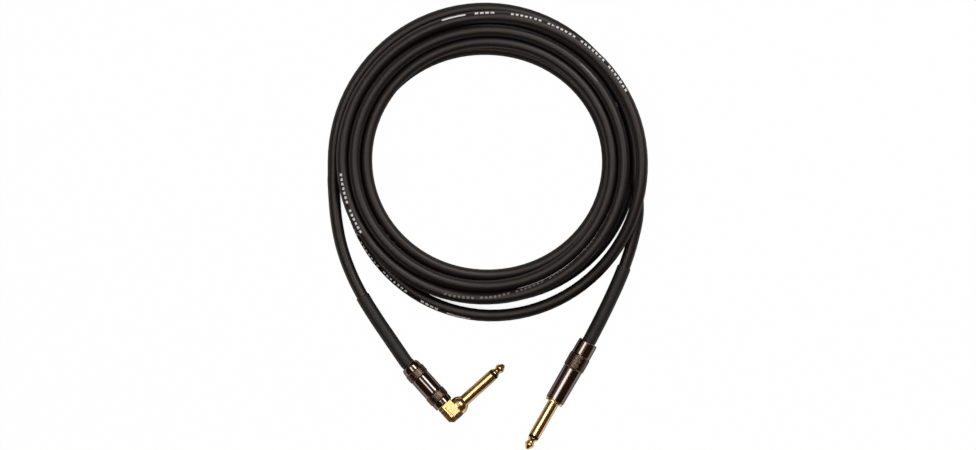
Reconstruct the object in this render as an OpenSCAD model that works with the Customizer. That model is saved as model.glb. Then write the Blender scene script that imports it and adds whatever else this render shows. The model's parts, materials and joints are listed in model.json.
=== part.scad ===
// Instrument cable: a coiled guitar lead with one straight and one right-angle 6.35 mm plug.
// Millimetres, +Z up.  The lead lies on the floor z = 0, seen in plan.

/* [Cable] */
// Diameter of the cable's jacket
cable_d = 6.8; // [5:0.1:8]
// Diameter of the core with its insulation
core_d = 3.0; // [2:0.1:3.4]
// Diameter of the centre conductor
wire_d = 1.2; // [0.8:0.1:1.6]
// Wall of the conductive plastic layer round the core
screen_wall = 0.3; // [0.2:0.05:0.4]
// Wall of the shrunk sleeve behind each plug
shrink_wall = 0.5; // [0.3:0.05:0.55]

/* [Coil] */
// Middle of the coil along X
coil_x = -6.5; // [-20:0.5:20]
// Middle of the coil along Y
coil_y = 132; // [125:0.5:150]
// Centre height of one layer of loops above the layer below
layer_step = 7.4; // [7.3:0.05:8]
// Added to the radius of every loop
loop_grow = 0; // [-2:0.1:6]

/* [Jack shaft] */
// Diameter of the shaft
shaft_d = 6.35; // [6.2:0.01:6.5]
// Length from the shoulder to the tip
shaft_len = 30.5; // [29:0.1:32]
// Length of the tip contact, up to the insulating ring
tip_len = 7.4; // [6.5:0.1:8]
// Length of the insulating ring
ring_len = 1.5; // [1:0.1:3]
// Diameter of the insulating ring
ring_d = 6.0; // [5.6:0.05:6.2]
// Diameter of the rod that carries the tip contact
rod_d = 2.2; // [1.8:0.1:2.6]
// Diameter of the insulating tube round the rod
tube_d = 4.0; // [3.4:0.1:4.4]

/* [Straight plug] */
// Shoulder of the straight plug along X
straight_x = 30.5; // [20:0.5:40]
// Shoulder of the straight plug along Y
straight_y = -5; // [-15:0.5:5]
// Heading of the straight plug, from its tip to the cable
straight_head = 60; // [50:1:70]
// Diameter of the flange at the shoulder
flange_d = 10.2; // [9.6:0.1:10.8]
// Thickness of the flange
flange_t = 1.3; // [0.8:0.1:2]
// Length of the barrel and flange together
straight_len = 39.7; // [36:0.1:44]
// Diameter of the barrel at its front
front_d = 10.9; // [10.8:0.1:11.4]
// Smooth length in front of the knurl
front_len = 22.6; // [18:0.1:26]
// Length of the knurl
knurl_len = 8; // [5:0.1:10]

/* [Right-angle plug] */
// Where the barrel and shaft axes cross, along X
angle_x = -27.5; // [-40:0.5:-20]
// Where the barrel and shaft axes cross, along Y
angle_y = -10.4; // [-20:0.1:0]
// Heading of the barrel, from the head to the cable
angle_head = 132; // [120:1:140]
// Barrel axis to the shoulder of the shaft
elbow_reach = 9.8; // [9:0.1:11]
// Shaft axis to the front of the barrel
elbow_front = 5.9; // [5.5:0.1:6.5]
// Shaft axis to the far end of the head
elbow_back = 5.4; // [5:0.1:6]
// Half of the head's height
elbow_half = 4.8; // [4.6:0.1:5.2]
// Barrel axis to the back of the head
elbow_depth = 4.8; // [4.6:0.1:5.4]
// Chamfer on the upright edge between the head's back and far end
elbow_chamfer = 2.2; // [1:0.1:2.4]
// Width of the chamfers round the head's two flat faces
elbow_bevel = 2.8; // [1.5:0.1:3]
// Height of those chamfers
elbow_rise = 2.4; // [1:0.1:2.6]
// Barrel axis to the joint line of the head's cap
cap_seam = 0.4; // [0:0.1:1]
// Thickness of the head's wall at the barrel end
neck_wall = 1.6; // [1.2:0.1:2]
// Diameter of the collar round the shaft
collar_d = 10.4; // [9.8:0.1:10.8]
// Length of the right-angle barrel
angle_len = 30; // [28:0.1:34]

/* [Barrels] */
// Diameter of the smooth parts
barrel_d = 11.4; // [11.3:0.1:12]
// Diameter over the knurl
knurl_d = 12.2; // [12:0.1:13]
// Diameter of the screw thread, on its crests
thread_d = 9.0; // [8.6:0.1:9.2]
// Length of the screw thread
thread_len = 6; // [5:0.1:7]
// Diameter of the hole the cable leaves by
exit_d = 9.0; // [8.8:0.1:9.2]
// Length of that hole
exit_len = 1.5; // [1:0.1:2.5]
// Outside diameter of the insulating liner
liner_d = 9.3; // [9.1:0.1:9.4]
// Wall of the insulating liner
liner_wall = 0.5; // [0.3:0.05:0.55]

/* [Clearances] */
// Radial clearance of the screw thread
thread_gap = 0.05; // [0.02:0.01:0.1]
// Radial clearance of the barrel round the liner
liner_gap = 0.1; // [0.05:0.01:0.1]
// Radial clearance of the liner round the clamp
clamp_gap = 0.15; // [0.05:0.01:0.2]
// Clearance of the fixed pieces in the plugs
seat_gap = 0.05; // [0.02:0.01:0.1]
// Gap between a barrel and its shoulder when screwed home
home_gap = 0.1; // [0.05:0.01:0.3]

/* [Hidden] */
$fn = 40;

axis_z = knurl_d / 2;               // the barrels lie on their knurls
bore_r = liner_d / 2 + liner_gap;   // bore of the barrels
clamp_r = liner_d / 2 - liner_wall - clamp_gap;
cut = 0.01;                         // overshoot of a cutting solid
turn_rings = 24;                    // rings in one loop of the coil
loop_count = 5.5;
coil_sides = 6;
tail_sides = 12;
floor_z = cable_d / 2;              // centre height of a cable on the floor
upper_z = floor_z + layer_step;
raised_z = upper_z + 3;             // a loop that lies on its neighbour's flank
bridge_z = upper_z + layer_step;

// radius of the coil at each quarter turn, clockwise from nine o'clock
LOOPS = [88, 87, 82.3, 76.5,
         73.2, 64, 68, 64.5,
         69.2, 67.6, 70, 70.7,
         76.4, 74.2, 76.7, 78,
         83.5, 82, 87, 87.5,
         80.6, 80.3, 84.8, 86];
// centre height at the turn given first; smooth climbs in between
CLIMB = [[0, floor_z], [1.7, floor_z], [1.93, upper_z], [2.75, upper_z], [2.9, raised_z],
         [3.66, raised_z], [3.8, upper_z], [4.12, upper_z], [4.27, bridge_z],
         [4.52, bridge_z], [4.68, floor_z], [5.18, floor_z], [5.33, upper_z], [5.6, upper_z]];

// free cable behind the plugs, from the plug outwards; the first point is put on the axis
TAIL_ANGLE = [[-61.7, 30.4, 5.6], [-70.3, 43, 4.8], [-78.1, 55.6, 4.1], [-85, 69.6, 3.5],
              [-90.1, 84.4, 3.4], [-93.1, 100.4, 3.4]];
TAIL_STRAIGHT = [[58.7, 45.4, 6.1], [65.1, 58.8, 6.1], [70.7, 72.2, 6.3], [75.1, 86, 7],
                 [78.3, 102, 8.6]];
angle_axis_end = 39;                // cable kept on the barrel axis up to here
straight_axis_end = 43;
shrink_rings = 5;                   // rings of a tail that its sleeve covers

function unit(v) = v / norm(v);
function smooth(s) = s * s * (3 - 2 * s);
function spline(a, b, c, d, s) =
    b + s / 2 * (c - a + s * (2 * a - 5 * b + 4 * c - d + s * (3 * b - a - 3 * c + d)));
function loop_r(t) = let (q = min(floor(4 * t), 4 * loop_count - 1), s = 4 * t - q)
    loop_grow + spline(LOOPS[max(q - 1, 0)], LOOPS[q], LOOPS[q + 1], LOOPS[q + 2], s);
function climb(t, i = 0) = t > CLIMB[i + 1][0] ? climb(t, i + 1)
    : CLIMB[i][1] + (CLIMB[i + 1][1] - CLIMB[i][1])
      * smooth((t - CLIMB[i][0]) / (CLIMB[i + 1][0] - CLIMB[i][0]));
function coil_at(t) = [coil_x + loop_r(t) * cos(180 - 360 * t),
                       coil_y + loop_r(t) * sin(180 - 360 * t), climb(t)];
function on_axis(x, y, head, z) = [x + z * cos(head), y + z * sin(head), axis_z];

COIL_START = coil_at(0) - [0, cable_d, 0];
COIL_END = coil_at(loop_count) - [0, cable_d, 0];
COIL = concat([COIL_START],
              [for (i = [0 : turn_rings * loop_count]) coil_at(i / turn_rings)],
              [COIL_END]);

// depths along the straight plug, from its shoulder to the cable
spigot_end = flange_t + thread_len;
plate_t = 0.5;
washer_t = 0.8;
straight_strip = 17;                // the jacket is cut back to here
straight_clamp = [18, 26];
// depths along the right-angle barrel, from the shaft axis to the cable
neck_end = elbow_front + thread_len;
angle_strip = 16.5;
angle_clamp = [17, 23];

ANGLE_PATH = concat([on_axis(angle_x, angle_y, angle_head, angle_strip),
                     on_axis(angle_x, angle_y, angle_head, angle_clamp[1] + 1),
                     on_axis(angle_x, angle_y, angle_head, angle_axis_end)],
                    TAIL_ANGLE, [COIL_START - [0, cable_d, 0], COIL_START]);
STRAIGHT_PATH = concat([on_axis(straight_x, straight_y, straight_head, straight_strip),
                        on_axis(straight_x, straight_y, straight_head, straight_clamp[1] + 1),
                        on_axis(straight_x, straight_y, straight_head, straight_axis_end)],
                       TAIL_STRAIGHT, [COIL_END - [0, cable_d, 0], COIL_END]);

// least gap of the coil to itself, and the cable's length, measured on points
FINE = [for (i = [0 : 2 * turn_rings * loop_count]) coil_at(i / (2 * turn_rings))];
GAPS = [for (i = [0 : len(FINE) - 1], j = [i + turn_rings : 1 : len(FINE) - 1])
        norm(FINE[i] - FINE[j]) - cable_d];
function path_len(p) = len(p) < 2 ? 0
    : [for (i = 1, s = norm(p[1] - p[0]); i < len(p);
            i = i + 1, s = s + (i < len(p) ? norm(p[i] - p[i - 1]) : 0)) s][len(p) - 2];
echo(least_gap = min(GAPS));
echo(coil_mm = path_len(FINE), tails_mm = [path_len(ANGLE_PATH), path_len(STRAIGHT_PATH)]);

// direction of a path at its point i; the ends are square to what they meet
function heading_at(p, i) = i == 0 ? unit(p[1] - p[0])
    : i == len(p) - 1 ? unit(p[i] - p[i - 1])
    : unit(unit(p[i + 1] - p[i]) + unit(p[i] - p[i - 1]));
function ring_at(p, i, r, n) = let (t = heading_at(p, i), u = unit([-t[1], t[0], 0]),
                                    w = cross(t, u))
    [for (k = [0 : n - 1]) let (a = 360 * k / n + 90) p[i] + r * (cos(a) * u + sin(a) * w)];

// closed tube through the points p
module tube(p, d, n) {
    last = len(p) - 1;
    points = [for (i = [0 : last]) each ring_at(p, i, d / 2, n)];
    sides = [for (i = [0 : last - 1], k = [0 : n - 1])
             let (a = i * n + k, b = i * n + (k + 1) % n)
             each [[a, b, a + n], [b, b + n, a + n]]];
    caps = [for (k = [1 : n - 2]) each [[0, k + 1, k], [last * n, last * n + k, last * n + k + 1]]];
    polyhedron(points, [for (f = concat(sides, caps)) [f[0], f[2], f[1]]]);
}

// closed sleeve round the points p
module sleeve(p, d_in, d_out, n) {
    last = len(p) - 1;
    rings = last + 1;
    points = [for (d = [d_out, d_in], i = [0 : last]) each ring_at(p, i, d / 2, n)];
    outer = [for (i = [0 : last - 1], k = [0 : n - 1])
             let (a = i * n + k, b = i * n + (k + 1) % n)
             each [[a, b, a + n], [b, b + n, a + n]]];
    inner = [for (f = outer) [f[0] + rings * n, f[2] + rings * n, f[1] + rings * n]];
    near = [for (k = [0 : n - 1]) let (a = k, b = (k + 1) % n, c = rings * n)
            each [[a, c + a, b], [b, c + a, c + b]]];
    far = [for (k = [0 : n - 1]) let (a = last * n + k, b = last * n + (k + 1) % n, c = rings * n)
           each [[a, b, c + a], [b, c + b, c + a]]];
    polyhedron(points, [for (f = concat(outer, inner, near, far)) [f[0], f[2], f[1]]]);
}

// frames of the plugs: local +Z runs from the plug to the cable, local +X runs down
module straight_frame() {
    translate([straight_x, straight_y, axis_z]) rotate([0, 90, straight_head]) children();
}
module angle_frame() {
    translate([angle_x, angle_y, axis_z]) rotate([0, 90, angle_head]) children();
}
module angle_shaft_frame() {
    angle_frame() translate([0, -elbow_reach, 0]) rotate([-90, 0, 0]) children();
}

module pipe(r_out, r_in, z0, z1) {
    translate([0, 0, z0]) difference() {
        cylinder(r = r_out, h = z1 - z0);
        translate([0, 0, -cut]) cylinder(r = r_in, h = z1 - z0 + 2 * cut);
    }
}

// ---- jack shaft, local z = 0 at its shoulder, tip at -shaft_len ----
// outline of the tip: share of the shaft's radius, share of the tip's length
TIP = [[0.16, 0], [0.34, 0.05], [0.72, 0.3], [0.85, 0.39], [0.87, 0.45], [0.79, 0.52],
       [0.61, 0.67], [0.59, 0.73], [0.88, 0.93], [0.9, 1]];
module tip_contact(rod_end) {
    nose = -shaft_len;
    neck = nose + tip_len;
    rotate_extrude() polygon(concat([[0, nose]],
        [for (p = TIP) [p[0] * shaft_d / 2, nose + p[1] * tip_len]],
        [[rod_d / 2, neck], [rod_d / 2, rod_end], [0, rod_end]]));
}
module tip_insulator(tube_end) {
    front = -shaft_len + tip_len;
    rotate_extrude() polygon([[rod_d / 2 + seat_gap, front], [ring_d / 2, front],
        [ring_d / 2, front + ring_len], [tube_d / 2, front + ring_len],
        [tube_d / 2, tube_end], [rod_d / 2 + seat_gap, tube_end]]);
}
// solder round a wire on the z axis, between z0 and z1
module solder_bead(r_wire, r_bead, z0, z1) {
    rotate_extrude() polygon([[r_wire, z0], [r_bead, z0 + 0.5], [r_bead, z1 - 0.6], [r_wire, z1]]);
}
// clamp that grips the jacket, with the strip that joins it to the ground plate
module cable_clamp(plate_z, clamp) {
    r_in = cable_d / 2 + seat_gap;
    strip_w = 3.6;
    intersection() {
        pipe(clamp_r, r_in, plate_z, clamp[0] + cut);
        translate([0, -strip_w / 2, plate_z]) cube([clamp_r, strip_w, clamp[0] + cut - plate_z]);
    }
    difference() {
        pipe(clamp_r, r_in, clamp[0], clamp[1]);
        translate([-clamp_r - cut, -1.2, clamp[0] - cut])
            cube([clamp_r, 2.4, clamp[1] - clamp[0] + 2 * cut]);
    }
}
module core_insulation(z0, z1) {
    pipe(core_d / 2, wire_d / 2 + seat_gap, z0, z1);
}
module conductive_layer(z0, z1) {
    pipe(core_d / 2 + seat_gap + screen_wall, core_d / 2 + seat_gap, z0, z1);
}
pigtail_r = 0.7;
pigtail_x = cable_d / 2 - pigtail_r;
module shield_pigtail(z0, z1) {
    translate([pigtail_x, 0, z0]) cylinder(r = pigtail_r, h = z1 - z0);
}
module ground_solder(z0, z1) {
    intersection() {
        translate([pigtail_x, 0, 0]) solder_bead(pigtail_r, pigtail_r + 0.35, z0, z1);
        translate([0, 0, z0 - cut]) cylinder(r = cable_d / 2 + seat_gap, h = z1 - z0 + 2 * cut);
    }
}
liner_slack = 0.4;                  // from the ground plate to the liner
liner_past = 4;                     // the liner's length past the cable clamp
module liner(z0, z1) {
    pipe(liner_d / 2, liner_d / 2 - liner_wall, z0, z1);
}

// ---- straight plug ----
washer_end = spigot_end + plate_t + washer_t;
lug_end = washer_end + plate_t;
module straight_tip_contact() {
    color("gold") straight_frame() tip_contact(lug_end);
}
module straight_tip_insulator() {
    color("dimgray") straight_frame() tip_insulator(spigot_end + plate_t);
}
module straight_sleeve_contact() {
    color("gold") straight_frame() rotate_extrude() polygon([
        [tube_d / 2 + seat_gap, -shaft_len + tip_len + ring_len],
        [shaft_d / 2, -shaft_len + tip_len + ring_len], [shaft_d / 2, 0],
        [flange_d / 2 - 0.3, 0], [flange_d / 2, 0.3], [flange_d / 2, flange_t],
        [thread_d / 2, flange_t], [thread_d / 2, spigot_end],
        [tube_d / 2 + seat_gap, spigot_end]]);
}
module straight_ground_terminal() {
    color("silver") straight_frame() {
        pipe(clamp_r, tube_d / 2 + seat_gap, spigot_end, spigot_end + plate_t);
        cable_clamp(spigot_end + plate_t - cut, straight_clamp);
    }
}
module straight_rear_insulator() {
    color("white") straight_frame()
        pipe(3.2, rod_d / 2 + seat_gap, spigot_end + plate_t, washer_end);
}
lug_x = [-1.75, -1.25];
lug_len = 4;
module straight_tip_terminal() {
    color("silver") straight_frame() {
        pipe(2.5, rod_d / 2 + seat_gap, washer_end, lug_end);
        translate([lug_x[0], -1.2, lug_end - cut]) cube([lug_x[1] - lug_x[0], 2.4, lug_len + cut]);
    }
}
module straight_centre_conductor() {
    color("orange") straight_frame()
        translate([0, 0, lug_end + 0.6]) cylinder(d = wire_d, h = straight_strip - lug_end - 0.6);
}
module straight_core_insulation() {
    color("white") straight_frame() core_insulation(lug_end + lug_len + 0.4, straight_strip);
}
module straight_conductive_layer() {
    color("dimgray") straight_frame() conductive_layer(straight_strip - 2, straight_strip);
}
module straight_shield_pigtail() {
    color("orange") straight_frame() shield_pigtail(straight_strip - 5, straight_strip);
}
module straight_tip_solder() {
    color("silver") straight_frame() difference() {
        solder_bead(wire_d / 2, 1.5, lug_end + 0.9, lug_end + lug_len - 0.2);
        translate([lug_x[0] - 1, -1.6, lug_end]) cube([lug_x[1] - lug_x[0] + 1, 3.2, lug_len]);
    }
}
module straight_ground_solder() {
    color("silver") straight_frame() ground_solder(straight_strip - 4.6, straight_strip - 2.2);
}
module straight_liner() {
    color("gainsboro") straight_frame()
        liner(spigot_end + plate_t + liner_slack, straight_clamp[1] + liner_past);
}
module straight_barrel() {
    z0 = flange_t + home_gap;
    k0 = front_len;
    k1 = front_len + knurl_len;
    z1 = straight_len;
    color("dimgray") straight_frame() rotate_extrude() polygon([
        [thread_d / 2 + thread_gap, z0], [front_d / 2 - 0.2, z0], [front_d / 2, z0 + 0.2],
        [barrel_d / 2 - 0.1, k0 - 0.9], [barrel_d / 2 - 0.2, k0 - 0.4], [knurl_d / 2 - 0.2, k0],
        [knurl_d / 2, k0 + 0.3], [knurl_d / 2, k1 - 0.3], [knurl_d / 2 - 0.2, k1],
        [barrel_d / 2 - 0.1, k1 + 0.3], [barrel_d / 2, k1 + 0.8], [barrel_d / 2 - 0.1, z1 - 0.5],
        [barrel_d / 2 - 0.5, z1], [exit_d / 2, z1], [exit_d / 2, z1 - exit_len],
        [bore_r, z1 - exit_len], [bore_r, spigot_end + 0.5],
        [thread_d / 2 + thread_gap, spigot_end + 0.5]]);
}

// ---- right-angle plug ----
cavity_r = 3.7;
back_wall = 2.6;                    // wall left at the far end of the head
seat_y = 3.9;                       // barrel axis to the bottom of the insulator's seat
lug_y = [-1.35, -0.85];
stem_r = 2.9;                       // rear stem of the shaft, seated in the head
stem_len = 5.5;
plate_end = neck_end + plate_t;
module head_outline() {
    c = elbow_chamfer;
    b = -elbow_back;
    f = elbow_front;
    rotate([0, 90, 0]) rotate([0, 0, 90]) linear_extrude(2 * elbow_half, center = true)
        polygon([[-4.7, b + 0.8], [-3.9, b], [elbow_depth - c, b], [elbow_depth, b + c],
                 [elbow_depth, f - 0.6], [elbow_depth - 0.6, f], [-4.1, f], [-4.7, f - 0.6]]);
}
module head_block() {
    w = elbow_bevel;
    b = -elbow_back;
    f = elbow_front;
    h = elbow_half;
    low = h - elbow_rise;
    d = elbow_depth;
    intersection() {
        head_outline();
        translate([0, 0, b - 1]) linear_extrude(f - b + 2)
            polygon([[-h, d - w], [-low, d], [low, d], [h, d - w], [h, 0.4 - 4.7],
                     [h - 0.4, -4.7], [0.4 - h, -4.7], [-h, 0.4 - 4.7]]);
        rotate([90, 0, 0]) linear_extrude(2 * d + 2, center = true)
            polygon([[-h, b + w], [-low, b], [low, b], [h, b + w], [h, f + 1], [-h, f + 1]]);
    }
}
module cap_space(gap) {
    translate([-elbow_half - 1, cap_seam + gap, -elbow_back - 1])
        cube([2 * elbow_half + 2, elbow_depth + 1, elbow_back + 1 + elbow_front - neck_wall - gap]);
}
module head_cavity() {
    translate([0, 0, back_wall - elbow_back]) cylinder(r = cavity_r, h = elbow_back + neck_end);
}
module angle_head() {
    reach = elbow_reach;
    color("gold") angle_frame() difference() {
        union() {
            head_block();
            rotate([90, 0, 0]) rotate_extrude() polygon([[0, 4.2], [collar_d / 2, 4.2],
                [collar_d / 2, 6.6], [collar_d / 2 - 0.4, 7.8], [collar_d / 2 - 1, 8.8],
                [collar_d / 2 - 1.9, reach], [0, reach]]);
            cylinder(d = thread_d, h = neck_end);
        }
        head_cavity();
        cap_space(0);
        rotate([90, 0, 0]) cylinder(r = 2.6, h = seat_y);
        rotate([90, 0, 0]) cylinder(r = stem_r + seat_gap, h = reach + cut);
    }
}
module angle_cap() {
    color("gold") angle_frame() difference() {
        intersection() {
            head_block();
            cap_space(seat_gap);
        }
        head_cavity();
    }
}
module angle_tip_contact() {
    color("gold") angle_shaft_frame() tip_contact(elbow_reach + lug_y[1]);
}
module angle_tip_insulator() {
    color("dimgray") angle_shaft_frame() tip_insulator(elbow_reach - seat_y);
}
module angle_sleeve_contact() {
    color("gold") angle_shaft_frame() rotate_extrude() polygon([
        [tube_d / 2 + seat_gap, -shaft_len + tip_len + ring_len],
        [shaft_d / 2, -shaft_len + tip_len + ring_len], [shaft_d / 2, 0],
        [stem_r, 0], [stem_r, stem_len], [tube_d / 2 + seat_gap, stem_len]]);
}
module angle_rear_insulator() {
    color("white") angle_shaft_frame()
        pipe(2.5, rod_d / 2 + seat_gap, elbow_reach - seat_y, elbow_reach + lug_y[0]);
}
angle_lug_end = 6.5;
module angle_tip_terminal() {
    color("silver") {
        angle_shaft_frame()
            pipe(2.2, rod_d / 2 + seat_gap, elbow_reach + lug_y[0], elbow_reach + lug_y[1]);
        angle_frame() translate([-1.1, lug_y[0], 1.8])
            cube([2.2, lug_y[1] - lug_y[0], angle_lug_end - 1.8]);
    }
}
module angle_ground_terminal() {
    color("silver") angle_frame() {
        pipe(clamp_r, 2.6, neck_end, plate_end);
        cable_clamp(plate_end - cut, angle_clamp);
    }
}
module angle_centre_conductor() {
    color("orange") angle_frame()
        translate([0, 0, 2.8]) cylinder(d = wire_d, h = angle_strip - 2.8);
}
module angle_core_insulation() {
    color("white") angle_frame() core_insulation(angle_lug_end + 0.4, angle_strip);
}
module angle_conductive_layer() {
    color("dimgray") angle_frame() conductive_layer(angle_strip - 2, angle_strip);
}
module angle_shield_pigtail() {
    color("orange") angle_frame() shield_pigtail(angle_strip - 3.6, angle_strip);
}
module angle_tip_solder() {
    color("silver") angle_frame() difference() {
        solder_bead(wire_d / 2, 1.3, 3.1, angle_lug_end - 0.2);
        translate([-2, lug_y[0] - 1, 0]) cube([4, lug_y[1] - lug_y[0] + 1, angle_lug_end]);
    }
}
module angle_ground_solder() {
    color("silver") angle_frame() ground_solder(angle_strip - 3.5, angle_strip - 2.1);
}
module angle_liner() {
    color("gainsboro") angle_frame()
        liner(plate_end + liner_slack, angle_clamp[1] + liner_past);
}
module angle_barrel() {
    z0 = elbow_front + home_gap;
    z1 = elbow_front + angle_len;
    r = barrel_d / 2;
    k = knurl_d / 2;
    thread_r = thread_d / 2 + thread_gap;
    front_wall = r - thread_r;
    rear_wall = r - exit_d / 2;
    bands = [4, 8.7, 21.2, 25.7] + [for (i = [0 : 3]) elbow_front];
    color("dimgray") angle_frame() rotate_extrude() polygon([
        [thread_r, z0], [thread_r + 0.57 * front_wall, z0], [r - 0.1 * front_wall, z0 + 0.4],
        [r, bands[0] - 0.7], [r - 0.2, bands[0] - 0.3], [k - 0.2, bands[0]],
        [k, bands[0] + 0.3], [k, bands[1] - 0.3], [k - 0.2, bands[1]],
        [r - 0.2, bands[1] + 0.3], [r, bands[1] + 0.7],
        [r, bands[2] - 0.7], [r - 0.2, bands[2] - 0.3], [k - 0.2, bands[2]],
        [k, bands[2] + 0.3], [k, bands[3] - 0.3], [k - 0.2, bands[3]],
        [r - 0.08 * rear_wall, bands[3] + 0.3], [r - 0.08 * rear_wall, z1 - 2.4],
        [r - 0.25 * rear_wall, z1 - 1.2], [r - 0.65 * rear_wall, z1 - 0.3],
        [r - 0.85 * rear_wall, z1], [exit_d / 2, z1 - 0.2], [exit_d / 2, z1 - exit_len - 1.4],
        [bore_r, z1 - exit_len - 1.4], [bore_r, plate_end], [thread_r, plate_end]]);
}

// ---- cable ----
module cable_coil() {
    color("dimgray") tube(COIL, cable_d, coil_sides);
}
module cable_tail_straight() {
    color("dimgray") tube(STRAIGHT_PATH, cable_d, tail_sides);
}
module cable_tail_angle() {
    color("dimgray") tube(ANGLE_PATH, cable_d, tail_sides);
}
shrink_in = cable_d + 2 * seat_gap;
module straight_heat_shrink() {
    color("gray") sleeve([for (i = [1 : shrink_rings]) STRAIGHT_PATH[i]],
                         shrink_in, shrink_in + 2 * shrink_wall, tail_sides);
}
module angle_heat_shrink() {
    color("gray") sleeve([for (i = [1 : shrink_rings]) ANGLE_PATH[i]],
                         shrink_in, shrink_in + 2 * shrink_wall, tail_sides);
}

cable_coil();
cable_tail_straight();
cable_tail_angle();
straight_heat_shrink();
angle_heat_shrink();
straight_tip_contact();
straight_tip_insulator();
straight_sleeve_contact();
straight_ground_terminal();
straight_rear_insulator();
straight_tip_terminal();
straight_centre_conductor();
straight_core_insulation();
straight_conductive_layer();
straight_shield_pigtail();
straight_tip_solder();
straight_ground_solder();
straight_liner();
straight_barrel();
angle_head();
angle_cap();
angle_tip_contact();
angle_tip_insulator();
angle_sleeve_contact();
angle_rear_insulator();
angle_tip_terminal();
angle_ground_terminal();
angle_centre_conductor();
angle_core_insulation();
angle_conductive_layer();
angle_shield_pigtail();
angle_tip_solder();
angle_ground_solder();
angle_liner();
angle_barrel();
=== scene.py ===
"""A coiled instrument cable with a straight and a right-angle jack plug."""

import json
from math import ceil, cos, floor, hypot, pi, radians, sin

import bmesh
import bpy
from mathutils import Matrix, Vector, noise


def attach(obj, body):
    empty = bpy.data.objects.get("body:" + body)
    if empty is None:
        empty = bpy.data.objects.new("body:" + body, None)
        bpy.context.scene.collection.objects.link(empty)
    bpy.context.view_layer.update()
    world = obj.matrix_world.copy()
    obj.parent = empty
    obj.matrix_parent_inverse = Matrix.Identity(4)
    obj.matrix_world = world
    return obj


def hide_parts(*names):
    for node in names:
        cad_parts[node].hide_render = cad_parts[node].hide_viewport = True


bl_info = {
    "name": "Instrument cable",
    "version": (1, 0, 0),
    "blender": (4, 5, 0),
    "location": "3D View > Sidebar > Cable",
    "description": "Dresses a coiled instrument cable and its two jack plugs",
    "category": "Object",
}

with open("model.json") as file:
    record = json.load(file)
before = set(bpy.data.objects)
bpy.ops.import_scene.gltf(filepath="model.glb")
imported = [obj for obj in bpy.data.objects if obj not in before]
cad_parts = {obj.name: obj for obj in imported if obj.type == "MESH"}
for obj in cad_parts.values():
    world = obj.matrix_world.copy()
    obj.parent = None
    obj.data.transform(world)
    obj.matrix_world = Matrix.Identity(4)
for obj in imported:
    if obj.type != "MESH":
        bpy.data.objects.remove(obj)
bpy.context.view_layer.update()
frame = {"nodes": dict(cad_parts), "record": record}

MM = 0.001

# ---------------------------------------------------------------- sizes and colours

CABLE_D = 6.8                            # jacket's diameter, in mm


class CableSizes(bpy.types.PropertyGroup):
    """Sizes of the cable and its sleeves."""

    cable: bpy.props.FloatProperty(
        name="Cable", description="Diameter of the jacket", default=CABLE_D * MM,
        unit="LENGTH")
    shrink_wall: bpy.props.FloatProperty(
        name="Sleeve wall", description="Wall of the shrunk sleeves", default=0.52 * MM,
        unit="LENGTH")
    print_height: bpy.props.FloatProperty(
        name="Print height", description="Height of the printed ticks", default=1.35 * MM,
        unit="LENGTH")
    jacket: bpy.props.FloatVectorProperty(
        name="Jacket", description="Colour of the jacket", default=(0.0042, 0.0035, 0.0031),
        subtype="COLOR", size=3)
    shrink: bpy.props.FloatVectorProperty(
        name="Sleeve", description="Colour of the shrunk sleeves",
        default=(0.0058, 0.0046, 0.0038), subtype="COLOR", size=3)
    ink: bpy.props.FloatVectorProperty(
        name="Ink", description="Colour of the printed ticks", default=(0.86, 0.86, 0.84),
        subtype="COLOR", size=3)


class PlugSizes(bpy.types.PropertyGroup):
    """Sizes and colours of the two plugs."""

    knurl_depth: bpy.props.FloatProperty(
        name="Knurl depth", description="Depth of the diamond knurl", default=0.15 * MM,
        unit="LENGTH")
    knurl_teeth: bpy.props.IntProperty(
        name="Knurl teeth", description="Diamonds around a barrel", default=44, min=8)
    pitch: bpy.props.FloatProperty(
        name="Thread pitch", description="Pitch of the barrels' screw threads",
        default=0.75 * MM, unit="LENGTH")
    edge: bpy.props.FloatProperty(
        name="Edge round", description="Rounding of the head's edges", default=0.45 * MM,
        unit="LENGTH")
    gold: bpy.props.FloatVectorProperty(
        name="Gold", description="Colour of the gold plating", default=(0.88, 0.61, 0.27),
        subtype="COLOR", size=3)
    bronze: bpy.props.FloatVectorProperty(
        name="Barrel", description="Colour of the barrels' plating",
        default=(0.2, 0.165, 0.15), subtype="COLOR", size=3)
    # painted shade: the knurls take a darker colour than the plating, in place of the shade in
    # their cut grooves
    knurl: bpy.props.FloatVectorProperty(
        name="Knurl", description="Colour of the barrels' knurls",
        default=(0.12, 0.082, 0.06), subtype="COLOR", size=3)


class StageSizes(bpy.types.PropertyGroup):
    """The floor, the lamps and the camera."""

    distance: bpy.props.FloatProperty(
        name="Camera height", description="Height of the camera over the cable", default=4.0,
        unit="LENGTH")
    view_width: bpy.props.FloatProperty(
        name="View width", description="Width of floor that the camera sees",
        default=0.5545, unit="LENGTH")
    floor_white: bpy.props.FloatProperty(
        name="Floor white", description="How much of the floor shows as plain white",
        default=0.985, min=0.0, max=1.0, subtype="FACTOR")
    lamp: bpy.props.FloatProperty(
        name="Lamp power", description="Watts that the lamps take their shares of",
        default=22.0)
    lamp_heading: bpy.props.FloatProperty(
        name="Lamp heading", description="Heading of the lamps seen from above, in degrees",
        default=128.0)


# ---------------------------------------------------------------- materials


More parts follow.
